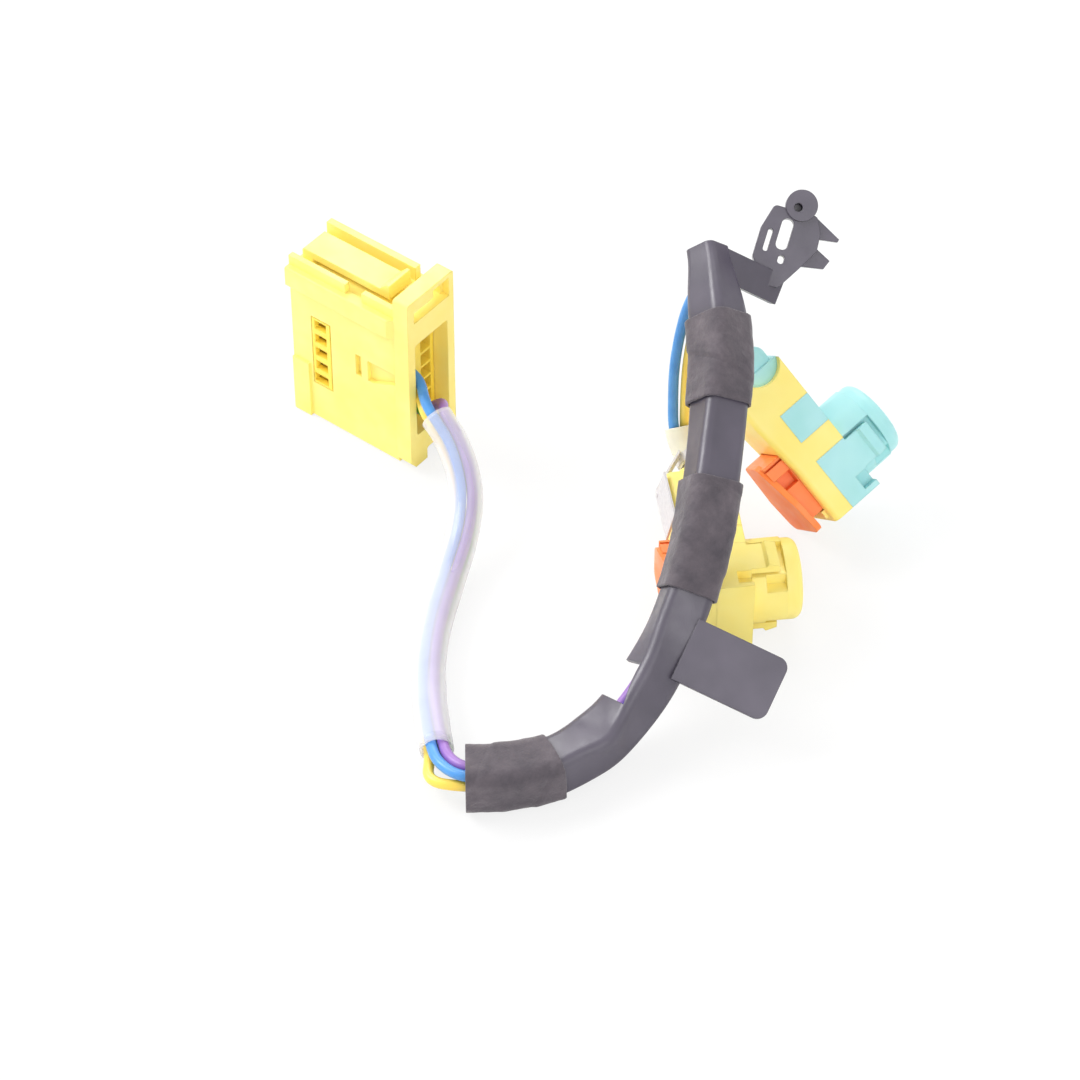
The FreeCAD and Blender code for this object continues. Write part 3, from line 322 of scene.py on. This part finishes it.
def clear_vinyl(name, colour, alpha_low, alpha_high):
    """A clear sleeve, cloudier towards its edges, with soft waves in its wall."""
    made, tree, shader = material(name)
    cloud = noise_node(tree, 240.0, 3.0)
    tint = ramp_node(tree, cloud, "Fac", [(0.3, between(colour, (0.75, 0.72, 0.85), 0.25)),
                                          (0.7, colour)])
    link(tree, tint, "Color", shader, "Base Color")
    rim = tree.nodes.new("ShaderNodeLayerWeight")
    rim.inputs["Blend"].default_value = 0.35
    cover = ramp_node(tree, rim, "Facing", [(0.1, (alpha_low,) * 3), (0.75, (alpha_high,) * 3)])
    link(tree, cover, "Color", shader, "Alpha")
    shader.inputs["Roughness"].default_value = 0.16
    wave = noise_node(tree, 520.0, 2.0)
    relief = bump_node(tree, wave, "Fac", 0.0002, 0.3)
    link(tree, relief, "Normal", shader, "Normal")
    return made


def cloth_tape(name):
    """Adhesive fleece tape: matte fibres, creases and a dull two-tone colour."""
    made, tree, shader = material(name)
    patch = noise_node(tree, 260.0, 5.0, 0.62)
    tint = ramp_node(tree, patch, "Fac", [(0.3, srgb(64, 58, 66)), (0.55, srgb(84, 76, 83)),
                                          (0.78, srgb(104, 95, 101))])
    link(tree, tint, "Color", shader, "Base Color")
    shader.inputs["Roughness"].default_value = 0.72
    shader.inputs["Sheen Weight"].default_value = 0.25
    shader.inputs["Sheen Roughness"].default_value = 0.5
    fibre = noise_node(tree, 3200.0, 4.0, 0.7)
    crease = noise_node(tree, 700.0, 3.0, 0.6)
    first = bump_node(tree, crease, "Fac", 0.0004, 0.5)
    relief = bump_node(tree, fibre, "Fac", 0.0001, 0.5, first)
    link(tree, relief, "Normal", shader, "Normal")
    return made


def paper(name):
    """Coated label paper: off-white with faint fibres."""
    made, tree, shader = material(name)
    fibre = noise_node(tree, 1800.0, 4.0, 0.65)
    tint = ramp_node(tree, fibre, "Fac", [(0.3, srgb(206, 203, 206)), (0.7, srgb(222, 219, 221))])
    link(tree, tint, "Color", shader, "Base Color")
    shader.inputs["Roughness"].default_value = 0.55
    relief = bump_node(tree, fibre, "Fac", 0.00004, 0.4)
    link(tree, relief, "Normal", shader, "Normal")
    return made


def metal(name, light, dark, rough):
    """Stamped contact metal with a brushed, slightly tarnished face."""
    made, tree, shader = material(name)
    stain = noise_node(tree, 600.0, 4.0)
    tint = ramp_node(tree, stain, "Fac", [(0.3, dark), (0.7, light)])
    link(tree, tint, "Color", shader, "Base Color")
    shader.inputs["Metallic"].default_value = 1.0
    brushed = noise_node(tree, 2600.0, 3.0)
    sheen = ramp_node(tree, brushed, "Fac", [(0.3, (rough - 0.06,) * 3), (0.7, (rough + 0.1,) * 3)])
    link(tree, sheen, "Color", shader, "Roughness")
    relief = bump_node(tree, brushed, "Fac", 0.00002, 0.3)
    link(tree, relief, "Normal", shader, "Normal")
    return made


# One look for each material slot of the record, and a milky one for the branch's sleeve
LOOKS = {
    "yellow_plastic": moulded("yellow_moulding", srgb(255, 238, 140), srgb(254, 232, 122),
                              0.42, glow=0.1),
    "deep_yellow_plastic": moulded("deep_yellow_moulding", srgb(255, 228, 92),
                                   srgb(254, 220, 74), 0.4, glow=0.1),
    "teal_plastic": moulded("teal_moulding", srgb(178, 230, 232), srgb(164, 222, 222),
                            0.42, glow=0.06),
    "orange_plastic": moulded("orange_moulding", srgb(255, 142, 72), srgb(252, 126, 54),
                              0.38, glow=0.05),
    "black_plastic": moulded("black_moulding", srgb(82, 76, 90), srgb(68, 63, 76),
                             0.38, grain=0.00002, gloss=0.75),
    "tape": cloth_tape("fleece_tape"),
    "clear_plastic": clear_vinyl("clear_vinyl", (0.96, 0.95, 0.99), 0.25, 0.62),
    "milky_plastic": clear_vinyl("milky_vinyl", srgb(252, 248, 226), 0.8, 0.95),
    "paper": paper("label_paper"),
    "blue_insulation": insulation("blue_wire", srgb(92, 162, 230), srgb(72, 144, 216)),
    "violet_insulation": insulation("violet_wire", srgb(168, 126, 200), srgb(146, 102, 184)),
    "yellow_insulation": insulation("yellow_wire", srgb(255, 228, 110), srgb(252, 212, 84)),
    "green_insulation": insulation("green_wire", srgb(96, 184, 84), srgb(70, 160, 66)),
    "ferrite": moulded("sintered_ferrite", srgb(66, 66, 70), srgb(48, 48, 52),
                       0.62, grain=0.00004),
    "contact_metal": metal("tinned_contact", srgb(214, 208, 196), srgb(178, 170, 158), 0.32),
}
SLOTS = sorted(LOOKS, key=len, reverse=True)


def look_of(name):
    """The look whose slot name begins a packed material's name."""
    for key in SLOTS:
        if key in name:
            return LOOKS[key]
    raise RuntimeError("no look for material " + name)


for name, node in NODES.items():
    for place in node.material_slots:
        place.material = look_of(place.material.name)


# Cords
def smooth_curve(name, points, resolution):
    """A curve object whose control points are a route's points."""
    data = bpy.data.curves.new(name, "CURVE")
    data.dimensions = "3D"
    line = data.splines.new("NURBS")
    line.points.add(len(points) - 1)
    for spot, point in zip(line.points, points):
        spot.co = (*mm(point), 1.0)
    line.order_u = 3
    line.use_endpoint_u = True
    data.resolution_u = resolution
    made = bpy.data.objects.new(name, data)
    bpy.context.collection.objects.link(made)
    return made


def wire(colour, route):
    """One insulated wire as a round cord along its route."""
    made = smooth_curve("insulated_wire_" + colour, route, 10)
    made.data.bevel_depth = WIRE_DIAMETER * MM / 2
    made.data.bevel_resolution = 5
    made.data.use_fill_caps = True
    made.data.materials.append(LOOKS[colour + "_insulation"])
    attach(made, "harness")
    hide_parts("wire_" + colour)
    return made


def line_of(points):
    """Points along the smooth curve of a route, as Blender draws it."""
    made = smooth_curve("line", points, 12)
    data = made.data
    bpy.context.view_layer.update()
    mesh = bpy.data.meshes.new_from_object(made)
    found = [v.co.copy() for v in mesh.vertices]
    bpy.data.objects.remove(made)
    bpy.data.curves.remove(data)
    bpy.data.meshes.remove(mesh)
    return found


def length_of(points):
    return sum((b - a).length for a, b in zip(points, points[1:]))


def soft_piece(name, data, look, node):
    """A soft piece of the harness that stands for a solid."""
    for face in data.polygons:
        face.use_smooth = True
    data.materials.clear()
    data.materials.append(LOOKS[look])
    made = bpy.data.objects.new(name, data)
    bpy.context.collection.objects.link(made)
    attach(made, "harness")
    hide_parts(node)
    return made


SLEEVE_SIDES = 36
SLEEVE_SWELL = 0.05
SLEEVE_WAVE = 260.0


def sleeve_rings(path):
    """A point, a side and an upper way at each point of a line, with no twist between them."""
    rings = []
    for i, point in enumerate(path):
        before = path[max(i - 1, 0)]
        after = path[min(i + 1, len(path) - 1)]
        along = (after - before).normalized()
        if rings:
            last = rings[-1][1]
            side = (last - along * last.dot(along)).normalized()
        else:
            side = along.cross(Vector((0, 0, 1))).normalized()
        rings.append((point, side, along.cross(side)))
    return rings


def sleeve_piece(name, route, outside, look, node):
    """A soft sleeve along a route, with a wall and a slightly uneven bore."""
    rings = sleeve_rings(line_of(route))
    verts = []
    for radius in (outside / 2, outside / 2 - SLEEVE_WALL):
        for point, side, up in rings:
            for k in range(SLEEVE_SIDES):
                turn = 2 * math.pi * k / SLEEVE_SIDES
                way = side * math.cos(turn) + up * math.sin(turn)
                swell = noise.noise((point + way * 0.002) * SLEEVE_WAVE) * SLEEVE_SWELL
                verts.append(point + way * (radius * (1 + swell)) * MM)
    inner = len(rings) * SLEEVE_SIDES
    faces = []
    for base in (0, inner):
        for i in range(len(rings) - 1):
            for k in range(SLEEVE_SIDES):
                a = base + i * SLEEVE_SIDES + k
                b = base + i * SLEEVE_SIDES + (k + 1) % SLEEVE_SIDES
                quad = (a, b, b + SLEEVE_SIDES, a + SLEEVE_SIDES)
                faces.append(quad if base == 0 else quad[::-1])
    for i in (0, len(rings) - 1):
        for k in range(SLEEVE_SIDES):
            a = i * SLEEVE_SIDES + k
            b = i * SLEEVE_SIDES + (k + 1) % SLEEVE_SIDES
            quad = (a, a + inner, b + inner, b)
            faces.append(quad if i == 0 else quad[::-1])
    data = bpy.data.meshes.new(name)
    data.from_pydata(verts, [], faces)
    data.validate()
    data.update()
    return soft_piece(name, data, look, node)


clear = sleeve_piece("clear_vinyl_sleeve", SLEEVE_ROUTE, SLEEVE_OUTSIDE, "clear_plastic",
                     "clear_sleeve")
branch = sleeve_piece("branch_wire_sleeve", BRANCH_ROUTE, BRANCH_OUTSIDE, "milky_plastic",
                      "branch_sleeve")

for colour, route in WIRES.items():
    wire(colour, route)
    length_of(line_of(route))

# Tape wraps: a soft band wound round the guide, with lapped edges and creases, in millimetres
TAPE_VOXEL = 0.15
TAPE_INSIDE = 3.3
TAPE_COVER = 0.14
TAPE_LAP = 0.2
TAPE_CREASE = 0.16
TAPE_SWELL = 0.04
LAP_RISE_SHARE = 0.08
LAP_FALL = 0.75
CORE_REACH = 2.7
CORE_INSET = 0.5
CORE_THINNER = 0.1
FACING_OUT = 0.3

GUIDE_LINE = line_of(GUIDE_ROUTE)
GUIDE_MARKS = [0.0]
for a, b in zip(GUIDE_LINE, GUIDE_LINE[1:]):
    GUIDE_MARKS.append(GUIDE_MARKS[-1] + (b - a).length)
GUIDE_TREE = kdtree.KDTree(len(GUIDE_LINE))
for k, point in enumerate(GUIDE_LINE):
    GUIDE_TREE.insert(point, k)
GUIDE_TREE.balance()
guide_data = NODES["wire_guide"].data
GUIDE_FACES = bvhtree.BVHTree.FromPolygons([v.co for v in guide_data.vertices],
                                           [face.vertices for face in guide_data.polygons])


def beside_guide(point):
    """Where a point lies along the guide's line, and how far out from it."""
    _, k, _ = GUIDE_TREE.find(point)
    k = min(max(k, 1), len(GUIDE_LINE) - 2)
    along = (GUIDE_LINE[k + 1] - GUIDE_LINE[k - 1]).normalized()
    across = point - GUIDE_LINE[k]
    reach = GUIDE_MARKS[k] + across.dot(along)
    return reach, along, across - along * across.dot(along), GUIDE_LINE[k]


def guide_core(tape):
    """The stretch of the guide under a tape, a little thinner, to close the tape over its edges."""
    first = min(tape.vertices, key=lambda v: beside_guide(v.co)[0])
    last = max(tape.vertices, key=lambda v: beside_guide(v.co)[0])
    core = bmesh.new()
    core.from_mesh(guide_data)
    bmesh.ops.remove_doubles(core, verts=core.verts, dist=0.0000001)
    for end, way in ((first, -1), (last, 1)):
        _, along, _, middle = beside_guide(end.co)
        cut = middle + along * ((end.co - middle).dot(along) - way * CORE_INSET * MM)
        whole = core.verts[:] + core.edges[:] + core.faces[:]
        bmesh.ops.bisect_plane(core, geom=whole, plane_co=cut, plane_no=along * way, clear_outer=True)
        rim = [edge for edge in core.edges if len(edge.link_faces) == 1]
        bmesh.ops.holes_fill(core, edges=rim)
    core.normal_update()
    for v in core.verts:
        v.co -= v.normal * CORE_THINNER * MM
    return core


def wound_tape(name, node, start, laps, over_core):
    """The tape's solid, remeshed fine, then raised along a helix of laps and creased by hand."""
    data = NODES[node].data.copy()
    if over_core:
        both = guide_core(data)
        both.from_mesh(data)
        both.to_mesh(data)
        both.free()
    made = bpy.data.objects.new(name, data)
    bpy.context.collection.objects.link(made)
    fine = made.modifiers.new("fine", "REMESH")
    fine.mode = "VOXEL"
    fine.voxel_size = TAPE_VOXEL * MM
    bpy.context.view_layer.update()
    data = bpy.data.meshes.new_from_object(made.evaluated_get(bpy.context.evaluated_depsgraph_get()))
    bpy.data.objects.remove(made)
    for v in data.vertices:
        reach, along, across, _ = beside_guide(v.co)
        side = along.cross(Vector((0.0, 0.0, 1.0))).normalized()
        turn = math.atan2(across.dot(along.cross(side)), across.dot(side)) / (2 * math.pi)
        place = (reach / MM - start) / laps + turn
        lap = place - math.floor(place)
        edge = min(1.0, lap / LAP_RISE_SHARE) * (1.0 - LAP_FALL * lap)
        crease = noise.noise(v.co * 900.0) * 0.35 + noise.noise(v.co * 340.0) * 0.65
        out = across.normalized()
        if across.length > TAPE_INSIDE * MM:
            v.co += out * max(0.0, edge * TAPE_LAP + crease * TAPE_CREASE + TAPE_SWELL) * MM
        face, normal, _, _ = GUIDE_FACES.find_nearest(v.co)
        depth = (v.co - face).dot(normal)
        outer = across.length > CORE_REACH * MM and normal.dot(out) > FACING_OUT
        if outer and depth < TAPE_COVER * MM:
            v.co += normal * (TAPE_COVER * MM - depth)
    soft_piece(name, data, "tape", node)


for name, start, laps, over_core in (("lower", 0.0, 9.0, True), ("middle", 3.0, 10.5, False),
                                     ("upper", 1.0, 10.0, False)):
    wound_tape("wound_tape_" + name, "tape_wrap_" + name, start, laps, over_core)

# Floor, light and backdrop
floor_data = bpy.data.meshes.new("floor")
floor_data.from_pydata([(-4, -4, -0.0002), (4, -4, -0.0002), (4, 4, -0.0002), (-4, 4, -0.0002)], [],
                       [(0, 1, 2, 3)])
floor = bpy.data.objects.new("floor", floor_data)
bpy.context.collection.objects.link(floor)
floor_look, floor_tree, floor_shader = material("floor_white")
floor_shader.inputs["Base Color"].default_value = (0.9, 0.9, 0.9, 1.0)
floor_shader.inputs["Roughness"].default_value = 0.9
floor_shader.inputs["Specular IOR Level"].default_value = 0.0
glow = floor_tree.nodes.new("ShaderNodeEmission")
glow.inputs["Color"].default_value = (1.0, 1.0, 1.0, 1.0)
glow.inputs["Strength"].default_value = 1.0
blend = floor_tree.nodes.new("ShaderNodeMixShader")
seen = floor_tree.nodes.new("ShaderNodeLightPath")
share = floor_tree.nodes.new("ShaderNodeMath")
share.operation = "MULTIPLY"
share.inputs[1].default_value = 0.8
either = floor_tree.nodes.new("ShaderNodeMath")
either.operation = "MAXIMUM"
link(floor_tree, seen, "Is Camera Ray", either, 0)
link(floor_tree, seen, "Is Transmission Ray", either, 1)
floor_tree.links.new(either.outputs[0], share.inputs[0])
floor_tree.links.new(share.outputs[0], blend.inputs[0])
floor_tree.links.new(floor_shader.outputs[0], blend.inputs[1])
floor_tree.links.new(glow.outputs[0], blend.inputs[2])
floor_tree.links.new(blend.outputs[0], floor_tree.nodes["Material Output"].inputs["Surface"])
floor_data.materials.append(floor_look)

world = bpy.data.worlds.new("studio")
bpy.context.scene.world = world
world.use_nodes = True
sky = world.node_tree
back = sky.nodes["Background"]
back.inputs["Color"].default_value = (1.0, 1.0, 1.0, 1.0)
rays = sky.nodes.new("ShaderNodeLightPath")
direct = sky.nodes.new("ShaderNodeMath")
direct.operation = "MAXIMUM"
link(sky, rays, "Is Camera Ray", direct, 0)
link(sky, rays, "Is Transmission Ray", direct, 1)
plain = sky.nodes.new("ShaderNodeMath")
plain.operation = "MAXIMUM"
sky.links.new(direct.outputs[0], plain.inputs[0])
link(sky, rays, "Is Glossy Ray", plain, 1)
strength = sky.nodes.new("ShaderNodeMapRange")
strength.inputs["To Min"].default_value = 0.62
strength.inputs["To Max"].default_value = 1.0
sky.links.new(plain.outputs[0], strength.inputs["Value"])
sky.links.new(strength.outputs[0], back.inputs["Strength"])


def lamp(name, place, aim, size, energy):
    data = bpy.data.lights.new(name, "AREA")
    data.shape = "SQUARE"
    data.size = size
    data.energy = energy
    made = bpy.data.objects.new(name, data)
    made.location = place
    made.rotation_euler = (Vector(aim) - Vector(place)).to_track_quat("-Z", "Y").to_euler()
    bpy.context.collection.objects.link(made)
    return made


lamp("key", (-0.55, -0.22, 0.6), (0.035, 0.0, 0.015), 0.45, 5.2)
lamp("sheen", (-0.3, 0.45, 0.6), (0.035, 0.0, 0.015), 0.5, 3.0)
lamp("fill", (0.6, -0.35, 0.45), (0.035, 0.0, 0.015), 0.5, 2.2)

bpy.context.scene.view_settings.view_transform = "Standard"
